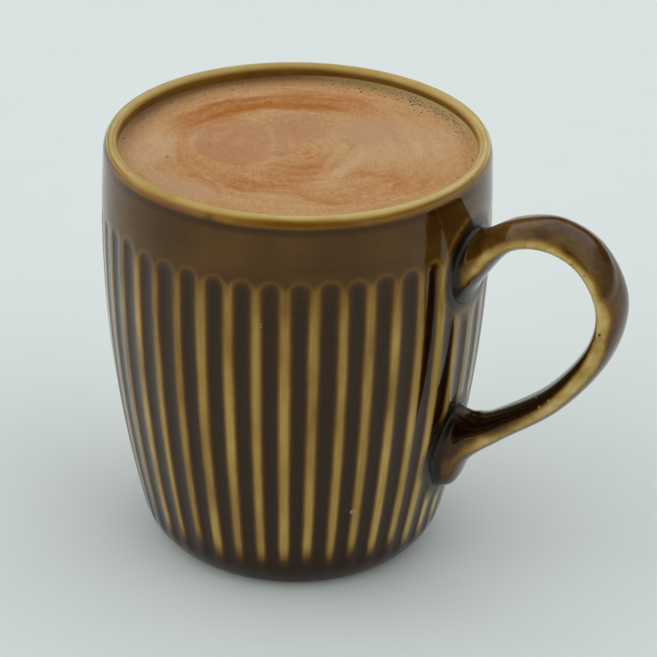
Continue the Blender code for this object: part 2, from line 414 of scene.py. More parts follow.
def body_outline(top):
    """(radius, height, fluted) rows from the underside, up the outside, over the lip and down inside."""
    centre_radius, centre_height = lower_corner()
    foot_inner = FOOT_OUTER_RADIUS - FOOT_WIDTH
    foot = [(foot_inner * share, FOOT_RECESS) for share in (0.4, 0.8, 0.95)]
    foot += [(foot_inner - 0.15 * MM, 0.4 * MM), (foot_inner + 0.25 * MM, 0.05 * MM)]
    foot += [(foot_inner + share * FOOT_WIDTH, 0.0) for share in (0.2, 0.5, 0.8)]
    foot += [(FOOT_OUTER_RADIUS - 0.1 * MM, 0.05 * MM), (FOOT_OUTER_RADIUS + 0.1 * MM, 0.25 * MM)]
    first = math.acos((FOOT_OUTER_RADIUS + FOOT_ROUNDING - centre_radius) / CORNER_RADIUS)
    last = math.asin((centre_height - FLUTE_BOTTOM) / CORNER_RADIUS)
    drops = [CORNER_RADIUS * math.sin(angle) for angle in np.linspace(first, last, 14)]
    foot += on_outline(centre_height - drop for drop in drops)
    low = np.linspace(FLUTE_BOTTOM, FLUTE_BOTTOM + 1.6 * FLUTE_BOTTOM_FADE, 12)[1:]
    middle = np.linspace(low[-1], top - 1.6 * FLUTE_ARCH_RISE, 54)[1:]
    high = np.linspace(middle[-1], top + 0.8 * MM, 17)[1:]
    upper = on_outline(np.linspace(high[-1], RIM_HEIGHT - LIP_ROLL - 0.3 * MM, 12)[1:])
    lip_radius = LIP_THICKNESS / 2
    lip_height = RIM_HEIGHT - lip_radius
    lip_centre = (float(outer_radius(lip_height)) - lip_radius, lip_height)
    outer = float(outer_radius(RIM_HEIGHT - LIP_ROLL))
    for angle in np.radians(np.linspace(0, 88, 16)):
        inward = (outer - lip_centre[0]) * (1 - math.cos(angle))
        upper.append((outer - inward, RIM_HEIGHT - LIP_ROLL * (1 - math.sin(angle))))
    upper += arc_points(lip_centre, lip_radius, 92, 186, 10)
    for depth in (4.0, 5.5, 8.0, 20.0, 45.0, 70.0):
        height = RIM_HEIGHT - depth * MM
        upper.append((float(inner_radius(height)), height))
    corner_height = FLOOR_TOP + INNER_CORNER_RADIUS
    corner = (float(inner_radius(corner_height)) - INNER_CORNER_RADIUS, corner_height)
    upper += arc_points(corner, INNER_CORNER_RADIUS, 0, -90, 5)
    parts = ((foot, False), (on_outline((*low, *middle, *high)), True), (upper, False))
    return [(*pair, fluted) for pairs, fluted in parts for pair in pairs]


def root_gap(points, tree):
    """How far places on the body are from the handle's skin; places well away from it count as far."""
    x, y = points[:, 0] - BODY_AXIS_X, points[:, 1]
    gaps = np.full(len(points), 1.0)
    near = (x > 25 * MM) & (np.abs(y) < 20 * MM)
    gaps[near] = [tree.find(point)[2] for point in points[near]]
    return gaps


def strap_tree(mesh):
    """The handle's points outside the wall, for measuring how near they are."""
    points = points_of(mesh)
    radius = np.hypot(points[:, 0] - BODY_AXIS_X, points[:, 1])
    points = points[radius > outer_radius(points[:, 2]) - 0.3 * MM]
    tree = KDTree(len(points))
    for index, point in enumerate(points):
        tree.insert(point, index)
    tree.balance()
    return tree


def open_share(gaps):
    """How much of a flute is left open: clay smoothed down from the handle fills it near the roots."""
    return smooth((gaps - 0.4 * MM) / (2.2 * MM))


def body_mesh(sizes, tree):
    """The turned and fluted body."""
    turns = column_turns()
    rows = []
    for radius, height, fluted in body_outline(sizes.flute_top):
        reach = np.full(len(turns), radius)
        if fluted:
            skin = stack(BODY_AXIS_X + radius * np.cos(TAU * turns), radius * np.sin(TAU * turns), height)
            depth = flute_depth(turns, height, sizes.flute_top, sizes.flute_depth)
            reach = reach - depth * open_share(root_gap(skin, tree))
        x = BODY_AXIS_X + reach * np.cos(TAU * turns)
        y = reach * np.sin(TAU * turns)
        rows.append(stack(x, y, height))
    return mesh_from_grid("body", np.array(rows))


def spline(values, position):
    """A smooth curve through evenly counted values, at a position from 0 to their number less one."""
    index = min(int(position), len(values) - 2)
    part = position - index
    before, start, end = values[max(index - 1, 0)], values[index], values[index + 1]
    after = values[min(index + 2, len(values) - 1)]
    pull_start, pull_end = (end - before) / 2, (after - start) / 2
    square, cube = part * part, part * part * part
    bend = (2 * cube - 3 * square + 1) * start + (cube - 2 * square + part) * pull_start
    return bend + (3 * square - 2 * cube) * end + (cube - square) * pull_end


def handle_positions():
    """Places along the handle, close together at both roots for their fillets."""
    upper = np.linspace(0.0, ARM_START, 64)
    arm = np.linspace(ARM_START, ARM_END, 110)[1:]
    lower = np.linspace(ARM_END, len(HANDLE_STATIONS) - 1.0, 90)[1:]
    return np.concatenate([upper, arm, lower])


def swell_roots(grid, out, fillet):
    """Widen rings of the handle into a round fillet where they come near the body's wall."""
    gap = np.hypot(grid[..., 0], grid[..., 1]) - outer_radius(grid[..., 2]) + 0.2 * MM
    reach = np.clip(fillet - gap, 0.0, fillet)
    swell = fillet - np.sqrt(fillet**2 - reach**2)
    # Under the lower root the strap's end was left as it was pressed on, with hardly any fillet
    swell = swell * (1 - 0.8 * smooth(out[None, :] / 0.6) * smooth((36 * MM - grid[..., 2]) / (8 * MM)))
    away = grid - grid.mean(axis=1, keepdims=True)
    wall = stack(grid[..., 0], grid[..., 1], 0.0)
    wall = wall / np.linalg.norm(wall, axis=-1, keepdims=True)
    away = away - wall * np.sum(away * wall, axis=-1, keepdims=True)
    away = away / np.maximum(np.linalg.norm(away, axis=-1, keepdims=True), 1e-9)
    return grid + away * swell[..., None]


def handle_mesh(sizes):
    """The strap handle, with each point's place across and along it stored for the glaze."""
    angles = np.linspace(0, TAU, HANDLE_SIDES, endpoint=False)
    power = 2 / HANDLE_SQUARENESS
    out = np.copysign(np.abs(np.cos(angles)) ** power, np.cos(angles))
    side = np.copysign(np.abs(np.sin(angles)) ** power, np.sin(angles))
    share = (1 + out) / 2
    positions = handle_positions()
    rows = []
    for position in positions:
        numbers = [spline(column, position) * MM for column in zip(*HANDLE_STATIONS)]
        outer_x, outer_z, inner_x, inner_z, half_width = numbers
        x = inner_x + (outer_x - inner_x) * share
        z = inner_z + (outer_z - inner_z) * share
        rows.append(stack(x, half_width * side, z))
    grid = swell_roots(np.array(rows), out, sizes.root_fillet)
    grid[..., 0] += BODY_AXIS_X
    mesh = mesh_from_grid("handle", grid)
    for name, places, at_ends in (
        ("side", np.tile(side, len(positions)), 0.0),
        ("outward", np.tile(out, len(positions)), 0.0),
        ("along", np.repeat(np.minimum(positions / ROOT_END, 1.0), HANDLE_SIDES), -1.0),
    ):
        values = np.full(len(mesh.vertices), at_ends)
        values[: len(places)] = places
        set_values(mesh, name, values)
    return mesh


def fuse(body, handle):
    """One skin from body and handle, as they are fired in one piece."""
    for mesh, mark in ((body, 0.0), (handle, 1.0)):
        set_values(mesh, "strap", np.full(len(mesh.vertices), mark))
    carrier = bpy.data.objects.new("carrier", body)
    tool = bpy.data.objects.new("tool", handle)
    for item in (carrier, tool):
        bpy.context.scene.collection.objects.link(item)
    union = carrier.modifiers.new("union", "BOOLEAN")
    union.operation = "UNION"
    union.solver = "MANIFOLD"
    union.object = tool
    graph = bpy.context.evaluated_depsgraph_get()
    mesh = bpy.data.meshes.new_from_object(carrier.evaluated_get(graph))
    for item in (carrier, tool):
        bpy.data.objects.remove(item)
    return mesh


def outward_faces(mesh):
    """Turn every face of a closed mesh outward."""
    bm = bmesh.new()
    bm.from_mesh(mesh)
    bmesh.ops.recalc_face_normals(bm, faces=bm.faces)
    bm.to_mesh(mesh)
    bm.free()


# ---------------------------------------------------------------- how the glaze lies


def read_values(mesh, name):
    """The numbers stored for the points of a mesh."""
    values = np.zeros(len(mesh.vertices), np.float32)
    attribute = mesh.attributes.get(name)
    if attribute is None:
        raise RuntimeError(f"the union lost the values named {name}")
    attribute.data.foreach_get("value", values)
    return values.astype(float)


def lip_angle(radius, height):
    """Place round the lip's section, in degrees: 0 outward, 90 on its crest, 180 inward."""
    lip_height = RIM_HEIGHT - LIP_THICKNESS / 2
    lip_middle = outer_radius(lip_height) - LIP_THICKNESS / 2
    return np.degrees(np.arctan2(height - lip_height, radius - lip_middle))


def ridge_cover(turn, z, below, uneven, tilt):
    """How thick the glaze lies on the ridges: more near their tops and on the side dipped lower."""
    crest = RIDGE_GLAZE + 0.04 * uneven
    crest += 0.13 * np.exp(-below / (10 * MM)) + 0.19 * np.exp(-below / (3 * MM))
    crest += 0.08 * smooth((tilt - 0.2 * BODY_RADIUS) / (0.35 * BODY_RADIUS))
    raised = 1 - smooth((tilt + 0.1 * BODY_RADIUS) / (0.4 * BODY_RADIUS))
    crest -= 0.05 * smooth((50 * MM - z) / (30 * MM)) * raised
    ridge = np.round(turn * FLUTES).astype(int) % FLUTES
    crest += 0.09 * ripple(stack(ridge * 5.3, z / (13 * MM), 0.0), 131)
    return crest + 0.05 * ripple(stack(turn * FLUTES * 9, z / (5 * MM), 0.0), 132)


def lip_cover(turn, azimuth, angle, far_left):
    """How thick the glaze lies on the lip: it drained off the crest, most on the handle's side."""
    edge = 66 + 9 * ripple(stack(turn * 16, 0.0, 0.0), 137)
    lip = LIP_GLAZE - LIP_GLAZE * window(azimuth, -75, 35, 40) * smooth((angle - 30) / 45)
    lip += 0.06 * window(azimuth, -165, -100, 30) * smooth((angle - 20) / 40)
    return lip + (LIP_OUTSIDE_GLAZE + 0.19 * far_left) * smooth((edge - angle) / 56)


def lip_smudges(turn, z):
    """Small runs of thicker glaze under the lip's crest."""
    total = 0.0
    for azimuth, depth in LIP_SMUDGES:
        round_rim = (((turn - azimuth / 360 + 0.5) % 1) - 0.5) * TAU * BODY_RADIUS
        up_rim = z - RIM_HEIGHT + 1.6 * MM
        total = total + depth * np.exp(-((round_rim / (1.1 * MM)) ** 2) - (up_rim / (0.8 * MM)) ** 2)
    return total


def body_cover(points, gaps, sizes):
    """Thickness of the glaze on the body, from 0, drawn thin, to 1, run together."""
    x, y, z = points[:, 0] - BODY_AXIS_X, points[:, 1], points[:, 2]
    azimuth = np.arctan2(y, x)
    turn = (azimuth / TAU) % 1.0
    radius = np.hypot(x, y)
    offset = flute_offset(turn, z, sizes.flute_top)
    uneven = flute_jitter()[2][np.round(turn * FLUTES).astype(int) % FLUTES] / FLUTE_TOP_SPREAD
    outside = (offset - 1) * FLUTE_HALF_SHARE * PITCH
    below = np.maximum(sizes.flute_top + uneven * 0.3 * MM - z, 0.0)
    # The mug was held tilted as it was dipped, so its left side carries a little more glaze
    crest = ridge_cover(turn, z, below, uneven, -0.89 * x - 0.45 * y)
    thick = smooth((outside + 0.1 * MM) / (1.1 * MM)) * smooth((2.6 * MM - below) / (2.4 * MM))
    cover = blend(np.minimum(crest, HALO_GLAZE), BAND_GLAZE, thick)
    cover += 0.025 * ripple(points / (9 * MM), 133)
    left = smooth((-0.45 * BODY_RADIUS - x) / (0.4 * BODY_RADIUS)) * smooth((z - 70 * MM) / (10 * MM))
    cover -= 0.045 * left
    flank = np.clip(FLUTE_SLOPE * (FLUTE_EDGE - offset), 0, 1) * open_share(gaps)
    cover = blend(cover, FLUTE_GLAZE - 0.14 * np.exp(-below / (9 * MM)), flank)
    cover = blend(cover, FOOT_GLAZE, 1 - smooth((z - (3.0 + 0.9 * uneven) * MM) / (10 * MM)))
    # Round the pool at each root the glaze ran thin, and under the lip it gathered in a ring
    cover = blend(cover, RUN_GLAZE, 0.75 * window(gaps, 2.6 * MM, 3.3 * MM, 1.0 * MM))
    cover += 0.13 * window(z, RIM_HEIGHT - 3.5 * MM, RIM_HEIGHT - 2.7 * MM, 0.7 * MM)
    angle = lip_angle(radius, z)
    spots = 0.035 * ripple(stack(turn * 38, angle / 60, 0.0), 134)
    spots += 0.03 * ripple(stack(turn * 110, angle / 28, 0.0), 135)
    far_left = smooth((-0.5 * BODY_RADIUS - x) / (0.4 * BODY_RADIUS))
    lip = lip_cover(turn, np.degrees(azimuth), angle, far_left) + spots
    cover = blend(cover, lip, smooth((z - (RIM_HEIGHT - 2.7 * MM)) / (0.9 * MM))) + lip_smudges(turn, z)
    inside = (radius < outer_radius(z) - LIP_THICKNESS / 2) & (z > FLOOR_TOP - 1 * MM) & (radius > 0)
    inner = 0.10 + 0.36 * smooth((angle - 132) / 52)
    inner = np.where(z > RIM_HEIGHT - LIP_THICKNESS / 2, inner, INSIDE_GLAZE) + spots
    return np.where(inside, inner, cover)


def strap_cover(points, side, outward, along):
    """Thickness of the glaze on the handle: thin along its two narrow sides, thick on its broad ones."""
    # The thin strip wanders over the narrow side from the strap's inner edge to its outer one
    places, middles = (0.05, 0.15, 0.3, 0.4, 0.52, 0.66, 0.8), (-0.5, -0.42, -0.3, -0.3, -0.1, 0.4, 0.5)
    middle = np.interp(along, places, middles)
    reach = np.interp(along, (0.05, 0.3, 0.45, 0.55, 0.7, 0.85), (0.45, 0.48, 0.6, 0.62, 0.5, 0.42))
    sway = 0.16 * ripple(stack(along * 22, outward * 1.5, np.sign(side)), 103)
    edge = np.where(side > 0, 0.5, 0.66)
    reach = np.where(side > 0, reach + 0.2, reach)
    strip = window(outward + sway, middle - reach, middle + reach, 0.7)
    lower_end = 1 - 0.6 * smooth((along - 0.80) / 0.12)
    upper_end = 1 - 0.55 * smooth((0.1 - along) / 0.08)
    narrow = smooth((np.abs(side) - edge) / 0.3) * strip * lower_end * upper_end
    inner = smooth((-outward - 0.05) / 0.6)
    broad = STRAP_GLAZE + 0.28 * inner - 0.08 * smooth((0.35 - along) / 0.2)
    patches = 0.13 * ripple(points / (6 * MM), 101) + 0.13 * ripple(points / (2.2 * MM), 102)
    patches += 0.11 * ripple(points / (0.9 * MM), 104)
    patches += 0.06 * ripple(stack(along * 9, side * 3.2, outward * 1.6), 106)
    brown = 0.22 * smooth((0.28 - along) / 0.14) * smooth(ripple(points / (8 * MM), 105) + 0.6)
    roots = smooth((along - 0.84) / 0.1) + smooth((0.12 - along) / 0.08)
    thin = STRAP_EDGE_GLAZE + 0.05 * smooth((along - 0.35) / 0.2)
    return blend(broad, thin, narrow) + (patches + brown) * (0.35 + 0.65 * narrow) + 0.08 * roots


def spread_glaze(mesh, tree, sizes):
    """Work out glaze thickness, pools and bare clay for every point of the fused mug."""
    points = points_of(mesh)
    on_strap = read_values(mesh, "strap") > 0.5
    x, y, z = points[:, 0] - BODY_AXIS_X, points[:, 1], points[:, 2]
    radius = np.hypot(x, y)
    gap = np.abs(radius - outer_radius(z))
    away = np.where(on_strap, gap, root_gap(points, tree))
    inside = radius < outer_radius(z) - 2.5 * MM
    away[inside & ~on_strap] = 1.0
    cover = body_cover(points, away, sizes)
    strap = strap_cover(points, *(read_values(mesh, name) for name in ("side", "outward", "along")))
    strap = blend(strap, ROOT_GLAZE, 0.6 * (1 - smooth((gap - 0.5 * MM) / (3.5 * MM))))
    cover[on_strap] = strap[on_strap]
    lower_root = smooth((45 * MM - z) / (6 * MM))
    width = np.where(on_strap, 1.0 * MM, 1.8 * MM) * (1 + 0.65 * lower_root)
    pool = 1 - smooth((away - (0.6 + 0.5 * lower_root) * MM) / width)
    pool = pool * (1 - 0.6 * window(z, 52 * MM, 66 * MM, 4 * MM))
    front = smooth((0.3 * BODY_RADIUS - y - 0.35 * x) / BODY_RADIUS)
    warm = smooth((z - (RIM_HEIGHT - 3.0 * MM)) / (0.8 * MM)) * smooth((70 - lip_angle(radius, z)) / 50)
    warm = warm * (0.15 + 0.6 * front)
    warm_root = 0.45 * (1 - smooth((gap - 1 * MM) / (9 * MM))) * smooth((z - 45 * MM) / (9 * MM))
    warm[on_strap] = warm_root[on_strap]
    bare = (1 - smooth((z - 0.25 * MM) / (0.3 * MM))) * (radius > FOOT_OUTER_RADIUS - 1.2 * FOOT_WIDTH)
    for name, values in (("cover", np.clip(cover, 0, 1)), ("pool", pool), ("warm", warm), ("bare", bare)):
        set_values(mesh, name, values)
    for name in ("strap", "side", "outward", "along"):
        mesh.attributes.remove(mesh.attributes[name])


# ---------------------------------------------------------------- materials

MIX_COLOURS = {"data_type": "RGBA"}
MULTIPLY = {"operation": "MULTIPLY"}
MULTIPLY_ADD = {"operation": "MULTIPLY_ADD"}


def feed(node, inputs):
    """Fill a node's inputs: a node or an output is linked, a text is an sRGB colour, a number is set."""
    for socket, value in inputs.items():
        if isinstance(value, bpy.types.Node):
            value = next(output for output in value.outputs if output.enabled)
        if isinstance(value, bpy.types.NodeSocket):
            node.id_data.links.new(value, node.inputs[socket])
        else:
            node.inputs[socket].default_value = linear(value) if isinstance(value, str) else value


def add_node(tree, kind, settings=None, inputs=None, stops=None):
    """Add a shader node with its settings, its inputs and a ramp's colour stops."""
    node = tree.nodes.new("ShaderNode" + kind)
    for name, value in (settings or {}).items():
        setattr(node, name, value)
    feed(node, inputs or {})
    if stops:
        elements = node.color_ramp.elements
        while len(elements) < len(stops):
            elements.new(1.0)
        for element, (place, colour) in zip(elements, stops):
            element.position = place
            element.color = linear(colour)
    return node


def new_material(name):
    """An empty material with its Principled shader, ready for its own nodes."""
    material = bpy.data.materials.new(name)
    material.use_nodes = True
    tree = material.node_tree
    return material, tree, tree.nodes["Principled BSDF"]


def glazed_stoneware(colours):
    """Stoneware, turned, fluted, dipped in a transparent amber glaze and fired.

    The glaze is glass: pale where it draws thin over edges, dark where it runs thick, and glossy all over.
    """
    material, tree, shader = new_material("amber_glazed_stoneware")
    place = add_node(tree, "TexCoord").outputs["Object"]
    cover, pool, warm, bare = [
        add_node(tree, "Attribute", {"attribute_name": name}).outputs["Fac"]
        for name in ("cover", "pool", "warm", "bare")
    ]
    # Throwing lines run round the body about 1.5 mm apart, and clouds in the glaze are about 12 mm across
    drawn = add_node(tree, "VectorMath", MULTIPLY, {0: place, 1: (40, 40, 650)})
    lines = add_node(tree, "TexNoise", None, {"Vector": drawn, "Scale": 1.0, "Detail": 2.0})
    clouds = add_node(tree, "TexNoise", None, {"Vector": place, "Scale": 85.0, "Detail": 3.0})
    sway = add_node(tree, "Math", MULTIPLY_ADD, {0: lines, 1: 0.04, 2: -0.02})
    fine = add_node(tree, "Math", MULTIPLY_ADD, {0: clouds, 1: 0.10, 2: -0.05})
    change = add_node(tree, "Math", None, {0: sway, 1: fine})
    depth = add_node(tree, "Math", {"use_clamp": True}, {0: cover, 1: change})
    stops = (
        (0.0, colours.glaze_thinnest),
        (0.2, colours.glaze_thin),
        (0.42, colours.glaze_amber),
        (0.62, colours.glaze_brown),
        (0.85, colours.glaze_thick),
        (1.0, colours.glaze_thickest),
    )
    colour = add_node(tree, "ValToRGB", None, {"Fac": depth}, stops)
    # Where the glaze ran down off the lip and the roots it is richer in iron, and more orange
    iron = {**MIX_COLOURS, "blend_type": "MULTIPLY"}
    for settings, share, other in (
        (iron, warm, colours.glaze_iron),
        (MIX_COLOURS, pool, colours.glaze_pool),
        (MIX_COLOURS, bare, colours.bare_clay),
    ):
        colour = add_node(tree, "Mix", settings, {0: share, 6: colour, 7: other})
    # Bare clay is dry to the touch; the glaze that pooled at the roots is less glossy than the rest
    dry = add_node(tree, "Math", MULTIPLY_ADD, {0: pool, 1: 0.36, 2: bare})
    rough = add_node(tree, "MapRange", None, {"Value": dry, "To Min": 0.07, "To Max": 0.75})
    # The fired skin is very slightly wavy, with swells about 5 mm across
    waves = add_node(tree, "TexNoise", None, {"Vector": place, "Scale": 200.0, "Detail": 1.0})
    skin = add_node(tree, "Bump", None, {"Height": waves, "Distance": 0.00012, "Strength": 0.6})
    # Part of the shine comes back from the clay through the amber glass, which warms it
    amber_shine = (1.0, 0.76, 0.5, 1.0)
    feed(shader, {"Base Color": colour, "Roughness": rough, "Normal": skin})
    feed(shader, {"IOR": 1.465, "Specular Tint": amber_shine})
    return material


def milk_foam(colours):
    """Steamed milk foam stained by coffee and cocoa, stirred once and left to settle.

    Tiny bubbles scatter the light, so it is matte and soft, with a fine grain.
    """
    material, tree, shader = new_material("stirred_milk_foam")
    place = add_node(tree, "TexCoord").outputs["Object"]
    stain, blush, froth, wall_shade = [
        add_node(tree, "Attribute", {"attribute_name": name}).outputs["Fac"]
        for name in ("stain", "blush", "froth", "wall_shade")
    ]
    # Bubbles of about 0.1 mm would vanish from a step away, so the grain is drawn about 0.4 mm across, and
    # drawn out the way the foam was last pushed
    pushed = {"Vector": place, "Rotation": (0.0, 0.0, math.radians(GRAIN_TURN)), "Scale": (1.5, 1.0, 1.0)}
    drawn = add_node(tree, "Mapping", {"vector_type": "TEXTURE"}, pushed)
    grain = add_node(tree, "TexNoise", None, {"Vector": drawn, "Scale": 2300.0, "Detail": 3.0})
    clots = add_node(tree, "TexNoise", None, {"Vector": drawn, "Scale": 700.0, "Detail": 2.0})
    fine = add_node(tree, "Math", MULTIPLY_ADD, {0: grain, 1: 0.75, 2: -0.375})
    soft = add_node(tree, "Math", MULTIPLY_ADD, {0: clots, 1: 0.3, 2: -0.15})
    speck = add_node(tree, "Math", None, {0: fine, 1: soft})
    shade = add_node(tree, "Math", {"use_clamp": True}, {0: stain, 1: speck})
    stops = (
        (0.0, colours.foam_pale),
        (0.35, colours.foam_light),
        (0.6, colours.foam_warm),
        (1.0, colours.foam_dark),
    )
    colour = add_node(tree, "ValToRGB", None, {"Fac": shade}, stops)
    # The grain shows in the blushed patches too
    rosy = add_node(tree, "Math", MULTIPLY_ADD, {0: speck, 1: -1.2, 2: 1.0})
    rosy = add_node(tree, "Math", MULTIPLY, {0: rosy, 1: blush})
    # Along the back of the wall the foam's edge is darkened with painted shade, the shade the wall casts on
    # it
    shares, codes = (rosy, froth, wall_shade), (colours.foam_blush, colours.foam_froth, colours.foam_wall_shade)
    for share, other in zip(shares, codes):
        colour = add_node(tree, "Mix", MIX_COLOURS, {0: share, 6: colour, 7: other})
    rough = add_node(tree, "MapRange", None, {"Value": grain, "To Min": 0.4, "To Max": 0.6})
    skin = add_node(tree, "Bump", None, {"Height": grain, "Distance": 0.00015, "Strength": 0.5})
    feed(shader, {"Base Color": colour, "Roughness": rough, "Normal": skin})
    feed(shader, {"IOR": 1.33, "Specular IOR Level": 0.3})
    return material


def bubble_film(colours):
    """Open bubbles in the foam's skin: wet, and dark inside, as light that falls into them is lost."""
    material, tree, shader = new_material("burst_foam_bubble")
    place = add_node(tree, "TexCoord").outputs["Object"]
    hollow = add_node(tree, "Attribute", {"attribute_name": "hollow"}).outputs["Fac"]
    grain = add_node(tree, "TexNoise", None, {"Vector": place, "Scale": 1200.0})
    depth = add_node(tree, "Math", MULTIPLY, {0: hollow, 1: grain})
    depth = add_node(tree, "Math", {**MULTIPLY, "use_clamp": True}, {0: depth, 1: 2.0})
    film = add_node(tree, "Mix", MIX_COLOURS, {0: depth, 6: colours.foam_froth, 7: colours.bubble_dark})
    feed(shader, {"Base Color": film, "Roughness": 0.2, "IOR": 1.35})
    return material


def glaze_pits(colours):
    """Places where gas broke through the molten glaze: a pale ring round a pinhole whose dark middle is
    painted shade, both glossy.
    """
    material, tree, shader = new_material("pinholed_amber_glaze")
    place = add_node(tree, "TexCoord").outputs["Object"]
    hollow = add_node(tree, "Attribute", {"attribute_name": "hollow"}).outputs["Fac"]
    grain = add_node(tree, "TexNoise", None, {"Vector": place, "Scale": 1500.0})
    pale = {0: grain, 6: colours.glaze_amber, 7: colours.glaze_thinnest}
    ring = add_node(tree, "Mix", MIX_COLOURS, pale)
    # The pinhole's dark middle is painted shade, as light that falls into the hole is lost
    pit = add_node(tree, "Mix", MIX_COLOURS, {0: hollow, 6: ring, 7: colours.glaze_pool})
    feed(shader, {"Base Color": pit, "Roughness": 0.15, "IOR": 1.48})
    return material


def matte_paper(colours):
    """Seamless studio paper, rolled and matte, with a barely seen tooth."""
    material, tree, shader = new_material("seamless_studio_paper")
    place = add_node(tree, "TexCoord").outputs["Object"]
    tooth = add_node(tree, "TexNoise", None, {"Vector": place, "Scale": 60.0})
    stops = ((0.3, colours.floor_dark), (0.7, colours.floor_light))
    paper = add_node(tree, "ValToRGB", None, {"Fac": tooth}, stops)
    feed(shader, {"Base Color": paper, "Roughness": 0.85, "Specular IOR Level": 0.15})
    return material


# ---------------------------------------------------------------- the drink


def brush(points, route, width):
    """How strongly a stroke along a smooth route marks the foam: full in its middle, faint at its ends."""
    steps = np.linspace(0, len(route) - 1, 12 * len(route))
    line = np.array([[spline(column, step) for column in zip(*route)] for step in steps])
    gaps = np.hypot(points[:, None, 0] - line[:, 0], points[:, None, 1] - line[:, 1])
    share = gaps.argmin(axis=1) / (len(steps) - 1)
    taper = np.sin(np.pi * np.clip(share, 0.03, 0.97)) ** 0.5
    return taper * np.exp(-((gaps.min(axis=1) / width) ** 2))


def blot(points, centre, radii, angle=0.0, edge=0.35):
    """A soft-edged oval patch on the foam: centre and radii in mm, turned by an angle in degrees."""
    turn = math.radians(angle)
    dx, dy = points[:, 0] - centre[0], points[:, 1] - centre[1]
    along = dx * math.cos(turn) + dy * math.sin(turn)
    across = dy * math.cos(turn) - dx * math.sin(turn)
    return 1 - smooth((np.hypot(along / radii[0], across / radii[1]) - 1) / edge + 0.5)


def around(points, centre):
    """Distance from a centre in mm and angle about it, for places on the foam."""
    dx, dy = points[:, 0] - centre[0], points[:, 1] - centre[1]
    return np.hypot(dx, dy), np.arctan2(dy, dx)


def flow_streaks(points, centre, width, length, seed):
    """Fine streaks that run round a centre, about so many mm wide and long."""
    radius, angle = around(points, centre)
    turned = stack(radius / width, np.cos(angle) * radius / length, np.sin(angle) * radius / length)
    return layered(turned, seed, 3)


def foam_at_wall(points, streaks):
    """Froth of the foam along the wall, where its bubbles gather, and the painted shade that the wall casts
    on the foam's edge.
    """
    radius, angle = around(points, (0, 0))
    azimuth = np.degrees(angle)
    edge = inner_radius(DRINK_HIGH.z) / MM - radius
    side = 0.25 + 0.75 * window(azimuth, 38, 108, 22)
    froth = (1 - smooth((edge - 0.4) / (0.9 + 2.6 * side))) * side
    froth = np.clip(froth * (1 + 0.5 * streaks), 0, 1)
    # Painted shade: the wall shades the foam's edge, darkest against the wall, over the back and left of
    # the rim
    wall_shade = (1 - 0.55 * smooth((edge - 0.2) / 2.6)) * (1 - smooth((edge - 2) / 5))
    wall_shade = wall_shade * window(azimuth % 360, 105, 200, 40)
    wall_shade = np.maximum(wall_shade, 0.5 * (1 - smooth(edge / 5.0)) * window(azimuth % 360, 85, 150, 40))
    return froth, wall_shade


def foam_pattern(points):
    """Stain, blush, froth and painted wall shade of the foam at places in mm from the mug's axis."""
    flat = stack(points[:, 0], points[:, 1], 0.0)
    # Everything lies at places that stirring has moved a little, with streaks round the mug and the eddy
    drift = stack(layered(flat / 7, 21), layered(flat / 7, 31)) * 0.9
    drift += stack(layered(flat / 2.2, 41, 2), layered(flat / 2.2, 51, 2)) * 0.55
    moved = points + drift
    outer = smooth((around(moved, EDDY)[0] - 10) / 8)
    turning = flow_streaks(moved, (0, 0), 0.8, 7, 61)
    curling = flow_streaks(moved, EDDY, 0.8, 5, 64)
    streaks = turning * outer + curling * (1 - outer)
    broad = layered(flat / 13, 71, 3)
    feather = np.clip(0.9 + 0.45 * streaks + 0.45 * layered(flat / 1.5, 75, 3), 0.15, 1.4)

    stain = 0.36 + 0.07 * broad + 0.17 * streaks + 0.12 * flow_streaks(moved, (0, 0), 2.6, 12, 67)
    for route, width, depth in COFFEE_STROKES:
        stain += depth * feather * brush(moved, route, width)
    for centre, radii, turn, depth in COFFEE_BLOTS:
        stain += depth * (0.5 + 0.5 * feather) * blot(moved, centre, radii, turn, 1.1)
    for route, width, depth in MILK_STROKES:
        stain -= depth * brush(moved, route, width)
    # The eddy is a smooth disc, deeper at its front, with a short curl of milk and a small ring beside it
    eddy = blot(moved, EDDY, (10.3, 11.6), 60, 0.3) + blot(moved, (-5, 10), (7.0, 8.0), 20, 0.7)
    eddy = np.clip(eddy, 0, 1)
    deep = blot(moved, (-13, -10), (7.0, 4.0), -15, 1.1)
    stain += 0.19 * eddy + 0.26 * deep
    curl = brush(points + 0.25 * drift, ((-10.8, 6.6), (-8, 3), (-5.6, -0.6), (-4.2, -4)), 0.42)
    curl = np.clip(1.5 * curl + blot(points, (-10.6, 6.0), (0.8, 1.1), 30, 0.8), 0, 1)
    ring = np.exp(-(((np.hypot(points[:, 0] + 2.6, points[:, 1] + 4.6) - 0.9) / 0.28) ** 2))
    stain += 0.30 * ring
    # Pale flecks of milk float behind it
    flecks = np.clip(ripple(flat * (1.3, 1.3, 1), 91) - 0.5, 0, 1)
    flecks = flecks * blot(points, (-7, 14), (10, 5), 25, 0.8)
    stain = stain - 1.0 * flecks - 0.4 * curl

    # The eddy and two patches by the wall are rosy and free of streaks
    blush = 0.50 * eddy + 0.08 * deep + 0.75 * blot(moved, (-11, -29), (9.5, 3.6), -12, 0.5)
    blush += 0.85 * blot(moved, (9.3, 15.5), (6.6, 7.6), 0, 0.6)
    blush = np.clip(blush + 0.12 * broad + 0.15 * streaks * (blush > 0.05), 0, 1) * 0.85
    return np.clip(stain, 0, 1), np.clip(blush + 0.55 * curl, 0, 1), *foam_at_wall(points, streaks)


